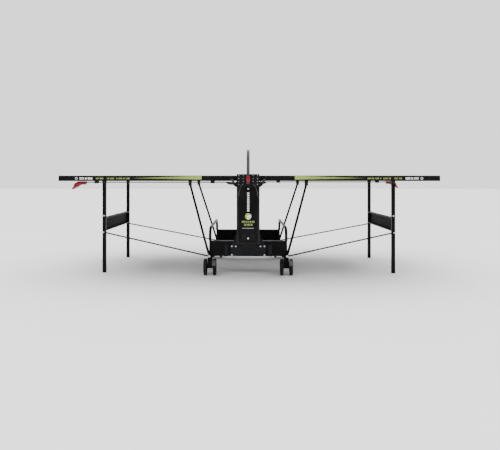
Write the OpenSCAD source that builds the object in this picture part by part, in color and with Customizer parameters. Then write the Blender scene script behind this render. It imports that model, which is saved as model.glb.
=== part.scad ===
// Folding ping pong table with a wheeled centre chassis.
// X runs along the table, Y across it, Z up. Origin: on the floor under the middle.

/* [Table top] */
// Length of the playing surface, both halves
table_l = 2740; // [2600:10:2800]
// Width of the playing surface
table_w = 1525; // [1480:5:1560]
// Height of the playing surface
top_z = 760; // [758:1:764]
// Thickness of the playing board
board_t = 6; // [4:1:8]
// Height of the apron frame with its board
apron_h = 40; // [38:1:44]
// Gap between the two halves at the net
centre_gap = 16; // [16:1:20]

/* [Chassis] */
// Half length of the two chassis beams
beam_half = 300; // [290:5:310]
// Distance of the beams' outer faces from the middle
beam_out = 492; // [488:1:496]
// Depth of a beam's flanges
beam_d = 52; // [46:1:56]
// Underside of the beams
beam_bottom = 142; // [140:1:144]
// Upper side of the beams
beam_top = 258; // [250:1:262]
// Distance of the bows from the net
bow_x = 295; // [292:1:298]
// Distance of the bows' feet from the middle
bow_y = 456; // [450:1:458]
// Top of the bows
bow_top = 364; // [350:1:366]
// Corner radius of the bows
bow_r = 80; // [60:5:90]
// Diameter of the bow and net post tubes
tube_d = 22; // [20:1:24]

/* [Columns] */
// Width of a column
column_w = 162; // [150:2:166]
// Foot of the column
column_bottom = 279; // [275:1:285]
// Top of the column, where the head box starts
column_top = 678; // [670:1:684]
// Distance of the head box's inner face from the middle
head_in = 778; // [776:1:782]
// Distance of the head box's outer face from the middle
head_out = 868; // [860:1:876]
// Top of the head box
head_top = 769; // [766:1:774]
// Distance of the net post from the middle
post_y = 915; // [910:1:918]
// Top of the net post
post_top = 942; // [938:1:956]
// Height of the net
net_h = 152; // [150:0.5:153]

/* [Legs and links] */
// Distance of the end legs from the net
leg_x = 1132; // [1120:2:1140]
// Distance of the end legs from the middle
leg_y = 410; // [408:1:412]
// Width of the leg tube along the table
leg_w = 27; // [22:1:27]
// Depth of the leg tube across the table
leg_d = 22; // [20:1:24]
// Height of the leg's hinge
leg_pivot_z = 712; // [710:1:713]
// Height of the strut bolt on the leg
strut_bolt_z = 318; // [312:1:324]
// Distance of the lower chassis pivot from the net
foot_pivot_x = 297; // [295:1:299]
// Height of the lower chassis pivot
foot_pivot_z = 147; // [146:1:150]
// Distance of the support tube's upper hinge from the net
top_pivot_x = 460; // [450:1:470]
// Height of the support tube's upper hinge
top_pivot_z = 695; // [692:1:697]
// Diameter of the slanted support tubes
rocker_d = 18; // [16:1:19]
// Diameter of the thin struts
strut_d = 11; // [9:1:12]

/* [Release] */
// Distance of the release rod from the middle
rod_y = 388; // [387:0.5:388.5]
// Height of the release rod
rod_z = 710; // [710:0.5:712]
// Diameter of the release rod
rod_d = 8; // [7:0.5:8]
// Distance of the latch shaft from the net
latch_x = 118; // [118:1:124]

/* [Castors] */
// Wheel diameter
wheel_d = 125; // [110:1:126]
// Width of one wheel
wheel_w = 24; // [20:1:24]
// Distance of a wheel's middle from the castor's middle
wheel_dx = 35.6; // [35:0.1:37]
// Distance of the swivel axes from the net
castor_x = 292; // [288:1:294]
// Distance of the swivel axes from the middle
castor_y = 474; // [470:1:478]
// How far the wheels trail behind the swivel axis
trail = 38; // [30:1:42]

/* [Hidden] */

$fn = 48;
eps = 1;                 // how far a cutter runs past a face
run = 0.05;              // radial clearance of a pin that turns in a bore
sheet = 3;               // sheet metal thickness
black = "#1c1d20";
dark = "#2b2c30";
steel = "#c4c6c9";
red = "#c01830";
playing = "#2f6b45";

half_l = table_l / 2;
half_w = table_w / 2;
inner_x = centre_gap / 2;
board_z = top_z - board_t;
apron_z = top_z - apron_h;
rail_w = 20;
cross_z = apron_z + 10;  // underside of the inner cross rails
pin_r = 5;               // pivot pins of the support tubes
leg_pin_r = 4;
foot_pivot_y = beam_out + 23;                  // middle of the support tube's lower eye
knee_y = beam_out + rocker_d / 2 + 1.5;        // middle of the support tube where it bends inwards
top_pivot_y = 372;       // middle of the support tube's upper eye
strut_in_y = beam_out + 41;                    // middle of the strut's chassis eye
strut_out_y = 430;       // middle of the strut's leg end
latch_z = 732;
latch_r = 6;
crank_r = 32;            // from the latch shaft down to the crank pin
pin_z = latch_z - crank_r;
hook_y = half_w + 3;     // inner face of a latch hook
arch_r = 67;             // middle line of the net posts' arches
arch_y = post_y - arch_r;
arch_z = post_top - tube_d / 2 - arch_r;

// ---- helpers ----

// round bar between two points
module bar(a, b, d) {
    v = b - a;
    l = norm(v);
    translate(a) rotate([0, acos(v[2] / l), atan2(v[1], v[0])]) cylinder(h = l, d = d);
}

// cylinder along Y, centred on a point
module y_disc(p, r, h) {
    translate(p) rotate([90, 0, 0]) cylinder(r = r, h = h, center = true);
}

// cylinder along X, centred on a point
module x_disc(p, r, h) {
    translate(p) rotate([0, 90, 0]) cylinder(r = r, h = h, center = true);
}

// box between two corners
module span(a, b) {
    translate([min(a[0], b[0]), min(a[1], b[1]), min(a[2], b[2])])
        cube([abs(b[0] - a[0]), abs(b[1] - a[1]), abs(b[2] - a[2])]);
}

// rectangle with round corners, centred
module round_rect(w, h, r) {
    square([w - 2 * r, h], center = true);
    square([w, h - 2 * r], center = true);
    for (x = [-1, 1], y = [-1, 1]) translate([x * (w / 2 - r), y * (h / 2 - r)]) circle(r);
}

// outline in X and Z, extruded along Y from y0 to y1
module xz_plate(points, y0, y1) {
    translate([0, y1, 0]) rotate([90, 0, 0]) linear_extrude(y1 - y0) polygon(points);
}

module ring_2d(d, wall) {
    difference() {
        circle(d = d);
        circle(d = d - 2 * wall);
    }
}

// the right half is the left half turned half a turn about Z
module turned(on) {
    rotate([0, 0, on ? 180 : 0]) children();
}

// ---- chassis ----

module beam() {
    color(black) difference() {
        span([-beam_half, -beam_out, beam_bottom], [beam_half, beam_d - beam_out, beam_top]);
        span([-beam_half - eps, sheet - beam_out, beam_bottom + sheet],
             [beam_half + eps, beam_d - beam_out + eps, beam_top - sheet]);
        for (s = [-1, 1]) translate([s * castor_x, -castor_y, beam_bottom - eps])
            cylinder(r = 6 + run, h = sheet + 2 * eps);
    }
}

module bow() {
    z = bow_top - tube_d / 2;
    color(dark) {
        for (s = [-1, 1]) {
            translate([0, s * bow_y, beam_top]) linear_extrude(z - bow_r - beam_top)
                ring_2d(tube_d, 2);
            translate([0, s * (bow_y - bow_r), z - bow_r]) rotate([90, 0, s * 90])
                rotate_extrude(angle = 90) translate([bow_r, 0]) ring_2d(tube_d, 2);
        }
        translate([0, bow_y - bow_r, z]) rotate([90, 0, 0]) linear_extrude(2 * (bow_y - bow_r))
            ring_2d(tube_d, 2);
    }
}

// front plate bolted to the beam, with a slanted box arm that carries the column
plate_half = 133;
plate_top = 229;
plate_y = beam_out + 4;
column_in = head_in + 4;
column_out = 850;

module outrigger() {
    arm_half = column_w / 2;
    rib_x = 168;
    color(dark) {
        span([-plate_half, -plate_y, beam_bottom], [plate_half, -beam_out, plate_top]);
        for (s = [-1, 1]) {
            intersection() {
                translate([s * rib_x, -beam_out, beam_bottom]) cylinder(r = 16, h = plate_top - beam_bottom);
                span([s * rib_x - 20, -beam_out - 20, beam_bottom], [s * rib_x + 20, -beam_out, plate_top]);
            }
            xz_plate([[s * (arm_half - 2), plate_top - 2], [s * 124, plate_top - 2], [s * 124, plate_top],
                      [s * 108, 268], [s * 100, 300], [s * (arm_half - 2), 300]],
                     -plate_y, -beam_out);
        }
        difference() {
            rotate([90, 0, 90]) translate([0, 0, -arm_half]) linear_extrude(2 * arm_half)
                polygon([[-beam_out, plate_top - 6], [-beam_out, beam_top], [-column_in, 318],
                         [-column_in, column_bottom]]);
            rotate([90, 0, 90]) translate([0, 0, 4 - arm_half]) linear_extrude(2 * arm_half - 8)
                polygon([[-beam_out - 8, plate_top], [-beam_out - 8, beam_top - 3], [4 - column_in, 313],
                         [4 - column_in, column_bottom + 4]]);
        }
    }
}

module column() {
    depth = column_out - column_in;
    mid = (column_out + column_in) / 2;
    color(black) difference() {
        translate([0, -mid, column_bottom]) linear_extrude(column_top - column_bottom)
            round_rect(column_w, depth, 12);
        translate([0, -mid, column_bottom + sheet]) linear_extrude(column_top)
            round_rect(column_w - 2 * sheet, depth - 2 * sheet, 9);
        span([-column_w / 2 + sheet, -mid, column_bottom + sheet],
             [column_w / 2 - sheet, -column_in + eps, column_top + eps]);
    }
}

// head box on the column, slotted for the net, with the net post's socket
striker_x = 84;
striker_z = 703;
socket_top = 754;
socket_bottom = 712;

module head_box() {
    outline = [[-80, head_top], [80, head_top], [80, 716], [103, 704], [103, 690], [84, column_top],
               [-84, column_top], [-103, 690], [-103, 704], [-80, 716]];
    cavity = [[-77, head_top - 3], [77, head_top - 3], [77, 714], [99, 702], [99, 692],
              [82, column_top - eps], [-82, column_top - eps], [-99, 692], [-99, 702], [-77, 714]];
    color(black) {
        difference() {
            xz_plate(outline, -head_out, -head_in);
            xz_plate(cavity, 3 - head_out, -head_in - 3);
            span([-2.5, -head_out - eps, top_z], [2.5, eps - head_in, head_top + eps]);
        }
        difference() {
            span([-17, -post_y - 15, socket_bottom], [17, -head_out, socket_top]);
            translate([0, -post_y, socket_bottom - eps])
                cylinder(d = tube_d, h = socket_top - socket_bottom + 2 * eps);
            y_disc([0, -post_y - 14, 733], 4 + run, 12);
        }
    }
}

// pins on the head boxes that the latch hooks catch
module striker_pins() {
    color(steel) for (s = [-1, 1], e = [-1, 1])
        y_disc([s * striker_x, e * (head_in - 6.5), striker_z], 4, 13);
}

// tube that rises beside the net and arches over its end
module net_post() {
    color(dark) {
        translate([0, -post_y, 700]) linear_extrude(arch_z - 700) ring_2d(tube_d, 2);
        translate([0, -arch_y, arch_z]) rotate([90, 0, -90]) rotate_extrude(angle = 112)
            translate([arch_r, 0]) ring_2d(tube_d, 2);
    }
}

module net_knob() {
    color(red) {
        translate([0, -post_y - 17, 733]) rotate([90, 0, 0]) linear_extrude(16) {
            for (s = [-1, 1]) translate([0, 10 * s]) circle(15);
            square([30, 20], center = true);
        }
        y_disc([0, -post_y - 14.75, 733], 4, 7.5);
    }
}

// the net's upper corners are rounded to sit inside the arches
module net() {
    corner = arch_r - tube_d / 2 - 1;
    half = arch_y + corner;
    low = top_z + 1;
    color("#2a2a2c") rotate([90, 0, 90]) translate([0, 0, -1.5]) linear_extrude(3) intersection() {
        translate([-half, low]) square([2 * half, net_h]);
        union() {
            translate([-half, low]) square([2 * half, arch_z - low]);
            translate([-arch_y, low]) square([2 * arch_y, net_h]);
            for (s = [-1, 1]) translate([s * arch_y, arch_z]) circle(r = corner);
        }
    }
}

module chassis_bolts() {
    color(steel) for (t = [0, 180]) rotate([0, 0, t]) {
        for (s = [-1, 1]) {
            y_disc([s * foot_pivot_x, -beam_out - 26, foot_pivot_z], pin_r, 52);
            y_disc([s * foot_pivot_x, -beam_out - 50, foot_pivot_z], 9, 6);
            for (p = [[125, 218], [95, 218], [125, 152]]) y_disc([s * p[0], -plate_y - 2, p[1]], 6, 4);
        }
        for (z = [318, 666]) y_disc([0, -column_out - 2, z], 6, 4);
    }
}

// ---- castors ----

axle_z = wheel_d / 2;

module castor_fork() {
    body_half = 19;
    color(black) {
        difference() {
            translate([-body_half, 0, 0]) rotate([90, 0, 90]) linear_extrude(2 * body_half)
                polygon([[26, 131], [26, 112], [-14, 58], [-trail - 12, 48], [-trail - 16, 66], [-34, 131]]);
            x_disc([0, -trail, axle_z], 4, 60);
            translate([0, -trail - 8, 22]) rotate([90, 0, 0]) cylinder(r = 32, h = 90, center = true);
        }
        x_disc([0, -trail, axle_z], 4, 2 * (wheel_dx + wheel_w / 2 + 3));
        for (s = [-1, 1]) x_disc([s * (wheel_dx + wheel_w / 2 + 2), -trail, axle_z], 10, 3);
        translate([0, 0, 130]) cylinder(r = 15, h = beam_bottom - 130.5);
        translate([0, 0, 130]) cylinder(r = 6, h = 26);
        translate([0, 0, beam_bottom + sheet + 0.5]) cylinder(r = 10, h = 8, $fn = 6);
    }
}

module castor_wheels() {
    hub_r = 40;
    color(dark) for (s = [-1, 1]) difference() {
        x_disc([s * wheel_dx, -trail, axle_z], wheel_d / 2, wheel_w);
        x_disc([s * wheel_dx, -trail, axle_z], 4 + run, wheel_w + 2);
        x_disc([s * (wheel_dx + wheel_w / 2), -trail, axle_z], hub_r, 6);
    }
}

// sector between two angles from the vertical
module fan(r, from, to) {
    polygon(concat([[0, 0]], [for (a = [from : (to - from) / 4 : to]) [-r * cos(a), -r * sin(a)]]));
}

module castor_brake() {
    arm_in = 19.6;
    arm_out = 22.8;
    pedal_r = wheel_d / 2 + 3;
    color("#55585c") translate([0, -trail, axle_z]) difference() {
        rotate([0, 90, 0]) translate([0, 0, arm_in]) {
            linear_extrude(arm_out - arm_in) {
                circle(9);
                fan(pedal_r + 2, 40, 72);
            }
            linear_extrude(48 - arm_in) rotate(56) translate([-pedal_r - 5, -22]) square([5, 44]);
        }
        x_disc([20, 0, 0], 4 + run, 30);
    }
}

module castor_at(sx, sy) {
    translate([sx * castor_x, sy * castor_y, 0]) children();
}

// ---- one table half, built on the left ----

module board() {
    color(playing) span([-half_l, -half_w, board_z], [-inner_x, half_w, top_z]);
}

module side_rails() {
    color(black) for (s = [-1, 1]) difference() {
        span([-half_l, s * half_w, apron_z], [-inner_x, s * (half_w - rail_w), board_z]);
        span([sheet - half_l, s * (half_w - sheet), apron_z + sheet],
             [-inner_x - sheet, s * (half_w - rail_w - eps), board_z - sheet]);
        y_disc([-latch_x, s * half_w, latch_z], latch_r + run, 2 * rail_w);
    }
}

module cross_rails() {
    reach = half_w - rail_w;
    color(black) {
        difference() {
            span([-half_l, -reach, apron_z], [rail_w - half_l, reach, board_z]);
            span([sheet - half_l, -reach - eps, apron_z + sheet],
                 [rail_w - half_l + eps, reach + eps, board_z - sheet]);
        }
        difference() {
            span([-inner_x - rail_w, -reach, apron_z], [-inner_x, reach, board_z]);
            span([-inner_x - rail_w - eps, -reach - eps, apron_z + sheet],
                 [-inner_x - sheet, reach + eps, board_z - sheet]);
        }
        for (x = [-top_pivot_x, -leg_x - 35]) difference() {
            span([x - 15, -reach, cross_z], [x + 15, reach, board_z]);
            span([x - 13, -reach - eps, cross_z + 2], [x + 13, reach + eps, board_z - 2]);
        }
    }
}

// hinge brackets under the cross rails, and the two clips that guide the rod
module top_brackets() {
    ear = 4;
    support_ear = 7;     // from the middle of the support tube's eye to the ear
    leg_ear = leg_d / 2 + 1;
    color(dark) for (s = [-1, 1]) {
        for (e = [-1, 1]) {
            span([-top_pivot_x - 13, s * top_pivot_y + e * support_ear, top_pivot_z - 12],
                 [-top_pivot_x + 13, s * top_pivot_y + e * (support_ear + ear), cross_z]);
            leg_mid = s * leg_y + e * (leg_ear + ear / 2);
            xz_plate([[-leg_x + 13, leg_pivot_z - 13], [-leg_x + 13, cross_z], [-leg_x - 44, cross_z],
                      [-leg_x - 44, apron_z + 2], [-leg_x - 13, apron_z + 2],
                      [-leg_x - 13, leg_pivot_z - 13]], leg_mid - ear / 2, leg_mid + ear / 2);
        }
        y_disc([-top_pivot_x, s * top_pivot_y, top_pivot_z], pin_r, 2 * support_ear);
        y_disc([-leg_x, s * leg_y, leg_pivot_z], leg_pin_r, 2 * leg_ear);
    }
    clip_x = [280, 1200];
    color(black) for (x = clip_x) difference() {
        span([-x - 16, -rod_y - 12, rod_z - 9], [-x + 16, -rod_y + 12, board_z]);
        x_disc([-x, -rod_y, rod_z], rod_d / 2 + run, 40);
    }
}

// rod that pulls the latch
rod_in = 178;

module release_rod() {
    color("#8d9094") x_disc([-(1300 + rod_in) / 2, -rod_y, rod_z], rod_d / 2, 1300 - rod_in);
}

// slotted link at the rod's inner end, over the crank pin
module release_link() {
    color("#8d9094") difference() {
        xz_plate([[-rod_in, rod_z + 4], [-rod_in, rod_z - 4], [-150, pin_z - 10], [-111, pin_z - 10],
                  [-111, pin_z + 10], [-150, pin_z + 15]], -rod_y - 2, -rod_y + 2);
        span([-latch_x - 3.8, -rod_y - 3, pin_z - 4.5], [-latch_x + 3.8, -rod_y + 3, pin_z + 7]);
    }
}

module release_handle() {
    width = 44;
    color(red) difference() {
        xz_plate([[-1284, 692], [-1284, 717], [-1341, 717], [-1359, 708], [-1372, 698], [-1377, 686],
                  [-1379, 677], [-1390, 665], [-1392, 654], [-1388, 652], [-1376, 661], [-1362, 667],
                  [-1350, 672], [-1337, 681], [-1324, 690]], -rod_y - width / 2, -rod_y + width / 2);
        x_disc([-1291, -rod_y, rod_z], rod_d / 2, 18);
    }
}

module latch_shaft() {
    color("#8d9094") y_disc([-latch_x, 0, latch_z], latch_r, 2 * hook_y);
}

// arm under the shaft, with the pin that the rod's link pulls, and the hooks on the shaft's ends
module latch_arms() {
    color("#8d9094") {
        difference() {
            span([-latch_x - 6, -rod_y + 3, pin_z - 6], [-latch_x + 6, -rod_y + 8, latch_z]);
            y_disc([-latch_x, -rod_y, latch_z], latch_r, 40);
        }
        y_disc([-latch_x, -rod_y + 0.5, pin_z], 3, 6);
        for (y = [-hook_y - 5, hook_y])
            xz_plate([[-latch_x - 9, latch_z + 6], [-latch_x + 9, latch_z + 6], [-98, 715], [-94, 712],
                      [-94, 697], [-99, 697], [-103, 706], [-latch_x - 4, latch_z - 12]], y, y + 5);
    }
}

module leg(s) {
    foot = 6;
    color(black) difference() {
        span([-leg_x - leg_w / 2, s * leg_y - leg_d / 2, foot],
             [-leg_x + leg_w / 2, s * leg_y + leg_d / 2, leg_pivot_z + leg_d / 2]);
        span([-leg_x - leg_w / 2 + 2, s * leg_y - leg_d / 2 + 2, foot - eps],
             [-leg_x + leg_w / 2 - 2, s * leg_y + leg_d / 2 - 2, leg_pivot_z + leg_d / 2 - 2]);
        y_disc([-leg_x, s * leg_y, leg_pivot_z], leg_pin_r + run, leg_d + 2);
    }
}

module leg_panel() {
    z0 = 328;
    z1 = 434;
    x0 = -leg_x - leg_w / 2;
    reach = leg_y - leg_d / 2;
    lip = 8;
    color(dark) difference() {
        span([x0, -reach, z0], [x0 + leg_w, reach, z1]);
        span([x0 + 2, -reach - eps, z0 + 2], [x0 + leg_w - 2, reach + eps, z1 - 2]);
        span([x0 + leg_w - 3, -reach - eps, z0 + lip], [x0 + leg_w + eps, reach + eps, z1 - lip]);
    }
}

// flush plugs in the legs' lower ends
module leg_feet() {
    plug_w = leg_w / 2 - 2;
    plug_d = leg_d / 2 - 2;
    color("#141416") for (s = [-1, 1]) {
        span([-leg_x - leg_w / 2, s * leg_y - leg_d / 2, 0], [-leg_x + leg_w / 2, s * leg_y + leg_d / 2, 6]);
        span([-leg_x - plug_w, s * leg_y - plug_d, 5], [-leg_x + plug_w, s * leg_y + plug_d, 30]);
    }
}

module leg_bolts() {
    face = leg_y + leg_d / 2;
    color(steel) for (s = [-1, 1], z = [strut_bolt_z, 448])
        y_disc([-leg_x, s * (face + 1.2), z], 7, 2.4);
}

// thin strut from the chassis pivot to the leg, with its bolt head
module strut(s) {
    a = [-foot_pivot_x, s * strut_in_y, foot_pivot_z];
    b = [-leg_x, s * strut_out_y, strut_bolt_z];
    color(black) difference() {
        union() {
            bar(a, b, strut_d);
            y_disc(a, 9, 9);
            y_disc(b, 8, 9);
        }
        y_disc(a, pin_r + run, 30);
    }
    color(steel) y_disc(b + [0, s * 6, 0], 6, 4);
}

// slanted tube that carries the top, hinged at both ends and bent to clear the beam
module support(s) {
    a = [-foot_pivot_x, s * foot_pivot_y, foot_pivot_z];
    b = [-top_pivot_x, s * top_pivot_y, top_pivot_z];
    on_line = a + 0.205 * (b - a);
    knee = [on_line[0], s * knee_y, on_line[2]];
    color(black) difference() {
        union() {
            bar(a, knee, rocker_d);
            translate(knee) sphere(d = rocker_d + 1.2);
            bar(knee, b, rocker_d);
            y_disc(a, 10, 16);
            y_disc(b, 10, 12);
        }
        y_disc(a, pin_r + run, 40);
        y_disc(b, pin_r + run, 40);
        for (e = [-1, 1]) y_disc(b + [0, e * 16, 0], 30, 20);
        y_disc(a + [0, s * 23.5, 0], 30, 30);
        y_disc(a - [0, s * 23.5, 0], 16, 30);
    }
}

// ---- nodes ----

beam();  // near_beam
rotate([0, 0, 180]) beam();  // far_beam
translate([-bow_x, 0, 0]) bow();  // left_bow
translate([bow_x, 0, 0]) bow();  // right_bow
outrigger();  // near_outrigger
rotate([0, 0, 180]) outrigger();  // far_outrigger
column();  // near_column
rotate([0, 0, 180]) column();  // far_column
head_box();  // near_head_box
rotate([0, 0, 180]) head_box();  // far_head_box
net_post();  // near_net_post
rotate([0, 0, 180]) net_post();  // far_net_post
net_knob();  // near_net_knob
rotate([0, 0, 180]) net_knob();  // far_net_knob
net();
chassis_bolts();
striker_pins();
for (side = ["left", "right"]) turned(side == "right") {
    board();
    side_rails();
    cross_rails();
    top_brackets();
    release_rod();
    release_link();
    release_handle();
    latch_shaft();
    latch_arms();
    leg_panel();
    leg_feet();
    leg_bolts();
    for (s = [-1, 1]) leg(s);
    for (s = [-1, 1]) strut(s);
    for (s = [-1, 1]) support(s);
}
for (row = ["near", "far"], side = ["left", "right"])
    castor_at(side == "left" ? -1 : 1, row == "near" ? -1 : 1) {
        castor_fork();
        castor_wheels();
        castor_brake();
    }
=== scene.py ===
import math

import bmesh
import bpy
from mathutils import Matrix, Vector


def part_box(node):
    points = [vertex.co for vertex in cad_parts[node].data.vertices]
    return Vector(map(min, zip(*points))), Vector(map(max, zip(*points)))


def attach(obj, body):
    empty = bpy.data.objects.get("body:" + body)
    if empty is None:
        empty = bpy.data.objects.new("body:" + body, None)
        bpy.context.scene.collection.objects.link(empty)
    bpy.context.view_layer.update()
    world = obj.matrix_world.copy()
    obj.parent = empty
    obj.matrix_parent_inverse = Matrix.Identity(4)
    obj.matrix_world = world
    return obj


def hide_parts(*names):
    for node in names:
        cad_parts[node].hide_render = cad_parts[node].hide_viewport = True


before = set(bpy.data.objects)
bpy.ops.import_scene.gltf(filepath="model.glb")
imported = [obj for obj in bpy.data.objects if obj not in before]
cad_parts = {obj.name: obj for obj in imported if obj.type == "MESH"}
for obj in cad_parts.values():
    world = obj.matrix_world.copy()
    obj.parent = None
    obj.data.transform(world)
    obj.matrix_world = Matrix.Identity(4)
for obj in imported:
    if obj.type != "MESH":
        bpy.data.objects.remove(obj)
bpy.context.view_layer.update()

MM = 0.001
HALVES = (("left", -1), ("right", 1))
ROWS = (("near", -1), ("far", 1))

# ---------------------------------------------------------------- materials


class Nodes:
    """A material's node tree, with short calls for the nodes that repeat."""

    def __init__(self, name):
        self.material = bpy.data.materials.new(name)
        self.material.use_nodes = True
        self.tree = self.material.node_tree
        self.shader = self.tree.nodes["Principled BSDF"]

    def link(self, out, into):
        self.tree.links.new(out, into)

    def new(self, kind, **values):
        node = self.tree.nodes.new(kind)
        for key, value in values.items():
            setattr(node, key, value)
        return node

    def place(self):
        """The point on the piece, in the row frame at rest."""
        return self.new("ShaderNodeTexCoord").outputs["Object"]

    def noise(self, scale, detail=3.0, stretch=None):
        node = self.new("ShaderNodeTexNoise")
        node.inputs["Scale"].default_value = scale
        node.inputs["Detail"].default_value = detail
        source = self.place()
        if stretch:
            mapping = self.new("ShaderNodeMapping")
            mapping.inputs["Scale"].default_value = stretch
            self.link(source, mapping.inputs["Vector"])
            source = mapping.outputs["Vector"]
        self.link(source, node.inputs["Vector"])
        return node.outputs["Fac"]

    def ramp(self, source, low, high, start=0.35, end=0.65):
        node = self.new("ShaderNodeValToRGB")
        node.color_ramp.elements[0].position = start
        node.color_ramp.elements[1].position = end
        node.color_ramp.elements[0].color = colour(low)
        node.color_ramp.elements[1].color = colour(high)
        self.link(source, node.inputs["Fac"])
        return node.outputs["Color"]

    def math(self, kind, a, b=None, c=None):
        node = self.new("ShaderNodeMath", operation=kind)
        for socket, value in zip(node.inputs, (a, b, c)):
            if value is None:
                continue
            if isinstance(value, (int, float)):
                socket.default_value = value
            else:
                self.link(value, socket)
        return node.outputs["Value"]

    def mix(self, factor, a, b):
        node = self.new("ShaderNodeMix", data_type="RGBA")
        self.link(factor, node.inputs["Factor"])
        for name, value in (("A", a), ("B", b)):
            socket = [s for s in node.inputs if s.name == name and s.type == "RGBA"][0]
            if isinstance(value, (tuple, list)):
                socket.default_value = colour(value)
            else:
                self.link(value, socket)
        return [s for s in node.outputs if s.type == "RGBA"][0]

    def bump(self, height, strength, distance, edge_mm=0.0):
        node = self.new("ShaderNodeBump")
        node.inputs["Strength"].default_value = strength
        node.inputs["Distance"].default_value = distance
        self.link(height, node.inputs["Height"])
        if edge_mm:
            bevel = self.new("ShaderNodeBevel", samples=4)
            bevel.inputs["Radius"].default_value = edge_mm * MM
            self.link(bevel.outputs["Normal"], node.inputs["Normal"])
        self.link(node.outputs["Normal"], self.shader.inputs["Normal"])

    def edge_wear(self, edge_mm):
        """Near 1 on sharp edges, 0 on flat faces."""
        bevel = self.new("ShaderNodeBevel", samples=4)
        bevel.inputs["Radius"].default_value = edge_mm * MM
        flat = self.new("ShaderNodeNewGeometry").outputs["True Normal"]
        dot = self.new("ShaderNodeVectorMath", operation="DOT_PRODUCT")
        self.link(bevel.outputs["Normal"], dot.inputs[0])
        self.link(flat, dot.inputs[1])
        away = self.math("SUBTRACT", 1.0, dot.outputs["Value"])
        return self.math("MULTIPLY", away, 3.0)

    def set(self, **values):
        """Sets or links the shader's sockets, named with _ for each space."""
        for key, value in values.items():
            socket = self.shader.inputs[key.replace("_", " ")]
            if isinstance(value, (int, float)):
                socket.default_value = value
            elif isinstance(value, tuple):
                socket.default_value = colour(value)
            else:
                self.link(value, socket)


def colour(rgb):
    """A colour with full alpha."""
    return (*rgb[:3], 1.0)


def powder_coat(name, low, high, rough, edge_mm=1.2, grain=1400.0, wear=(0.05, 0.05, 0.052), shine=0.06):
    """Sprayed powder coat: fine orange peel, cloudy tone, edges rubbed a little lighter."""
    m = Nodes(name)
    tone = m.ramp(m.noise(9.0, 4.0), low, high)
    rubbed = m.math("MULTIPLY", m.edge_wear(edge_mm), m.noise(60.0, 5.0))
    m.set(Base_Color=m.mix(m.math("MINIMUM", rubbed, 0.55), tone, wear))
    m.set(Roughness=m.math("MULTIPLY_ADD", m.noise(40.0, 4.0), 0.22, rough - 0.11))
    m.set(Specular_IOR_Level=shine)
    m.bump(m.noise(grain, 2.0), 0.35, 0.00025, edge_mm)
    return m.material


def moulded_plastic(name, low, high, rough, edge_mm=1.5, shine=0.07):
    """Moulded plastic with a fine spark-eroded grain."""
    m = Nodes(name)
    m.set(Base_Color=m.ramp(m.noise(14.0, 3.0), low, high))
    m.set(Roughness=m.math("MULTIPLY_ADD", m.noise(70.0, 3.0), 0.2, rough - 0.1), Specular_IOR_Level=shine)
    m.bump(m.noise(2400.0, 2.0), 0.4, 0.0002, edge_mm)
    return m.material


def bare_metal(name, low, high, rough, stretch):
    """Drawn or plated steel with lines along one direction."""
    m = Nodes(name)
    lines = m.noise(900.0, 2.0, stretch)
    m.set(Base_Color=m.ramp(m.noise(25.0, 4.0), low, high), Metallic=1.0)
    m.set(Roughness=m.math("MULTIPLY_ADD", lines, 0.25, rough - 0.1))
    m.bump(lines, 0.15, 0.0001, 0.6)
    return m.material


def rubber(name):
    """Dull black rubber with a fine skin."""
    m = Nodes(name)
    m.set(Base_Color=m.ramp(m.noise(45.0, 5.0), (0.012, 0.012, 0.012), (0.024, 0.024, 0.0235)))
    m.set(Roughness=m.math("MULTIPLY_ADD", m.noise(130.0, 3.0), 0.2, 0.6), Specular_IOR_Level=0.1)
    m.bump(m.noise(1500.0, 3.0), 0.6, 0.0003, 1.0)
    return m.material


def printed(name, low, high):
    """Screen-printed ink: slightly uneven, semi-gloss."""
    m = Nodes(name)
    m.set(Base_Color=m.ramp(m.noise(28.0, 4.0), low, high))
    m.set(Roughness=m.math("MULTIPLY_ADD", m.noise(90.0, 3.0), 0.15, 0.5), Specular_IOR_Level=0.1)
    m.bump(m.noise(1600.0, 2.0), 0.2, 0.0001)
    return m.material


def stripe_ink(name, near_x, far_x):
    """Lime ink that darkens to olive along the stripe."""
    m = Nodes(name)
    split = m.new("ShaderNodeSeparateXYZ")
    m.link(m.place(), split.inputs["Vector"])
    along = m.math("ABSOLUTE", split.outputs["X"])
    share = m.math("DIVIDE", m.math("SUBTRACT", along, near_x), far_x - near_x)
    speckle = m.math("MULTIPLY_ADD", m.noise(110.0, 4.0), 0.3, -0.15)
    tone = m.ramp(m.math("ADD", share, speckle), (0.36, 0.46, 0.13), (0.10, 0.14, 0.022), 0.0, 1.0)
    m.set(Base_Color=tone, Roughness=0.5, Specular_IOR_Level=0.1)
    m.bump(m.noise(1600.0, 2.0), 0.2, 0.0001)
    return m.material


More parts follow.
